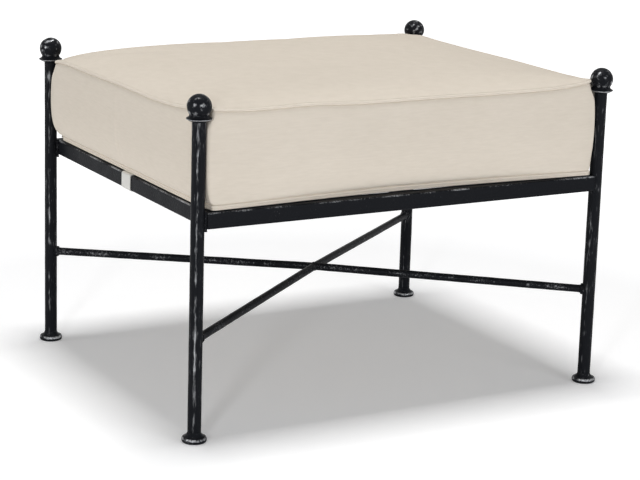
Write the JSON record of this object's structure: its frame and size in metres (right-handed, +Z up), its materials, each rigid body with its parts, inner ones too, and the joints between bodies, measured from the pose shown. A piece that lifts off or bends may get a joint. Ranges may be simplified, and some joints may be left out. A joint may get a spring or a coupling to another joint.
{
  "type": "outdoor ottoman footstool",
  "caption": "Outdoor ottoman footstool: a wrought-metal frame with ball finials, disc feet and crossed stretchers under a loose boxed cushion strapped to its seat ring",
  "frame": {"origin": "on the floor, midway between the four legs, at the bottom centre of the bounding box", "axes": "+X to the right along the front rail (the longer side), +Y to the back, +Z up"},
  "size_m": [0.6554, 0.532, 0.457],
  "materials": {
    "black_metal": "hand-rubbed near-black over steel, with silver showing through on edges, balls and welds",
    "canvas": "matt woven outdoor canvas, natural off-white",
    "foam": "open-cell cushion foam, inside the cover",
    "webbing": "woven off-white webbing",
    "zip_cloth": "woven zip tape with a moulded coil of teeth",
    "zip_metal": "plain zip slider metal"
  },
  "bodies": {
    "frame": {"leg_front_left": "black_metal", "leg_front_right": "black_metal", "leg_back_left": "black_metal", "leg_back_right": "black_metal", "foot_front_left": "black_metal", "foot_front_right": "black_metal", "foot_back_left": "black_metal", "foot_back_right": "black_metal", "collar_front_left": "black_metal", "collar_front_right": "black_metal", "collar_back_left": "black_metal", "collar_back_right": "black_metal", "ball_front_left": "black_metal", "ball_front_right": "black_metal", "ball_back_left": "black_metal", "ball_back_right": "black_metal", "seat_rail_front": "black_metal", "seat_rail_back": "black_metal", "seat_rail_left": "black_metal", "seat_rail_right": "black_metal", "seat_slat_1": "black_metal", "seat_slat_2": "black_metal", "seat_slat_3": "black_metal", "seat_slat_4": "black_metal", "seat_slat_5": "black_metal", "stretcher_long": "black_metal", "stretcher_half_front": "black_metal", "stretcher_half_back": "black_metal"},
    "cushion": {"cushion_top_panel": "canvas", "cushion_bottom_panel": "canvas", "boxing_front": "canvas", "boxing_right": "canvas", "boxing_back": "canvas", "boxing_left": "canvas", "welt_top": "canvas", "welt_bottom": "canvas", "foam_core": "foam", "strap_left": "webbing", "strap_right": "webbing", "zip_tape": "zip_cloth"},
    "slider": {"zip_slider": "zip_metal", "zip_pull": "zip_metal"}
  },
  "joints": [
    {"name": "cushion_lift", "type": "slide", "parent": "frame", "child": "cushion", "axis": [0, 0, 1], "range_m": [0, 0.2], "deforming": ["strap_left", "strap_right"]},
    {"name": "zip_slide", "type": "slide", "parent": "cushion", "child": "slider", "axis": [-1, 0, 0], "range_m": [0, 0.42]}
  ]
}
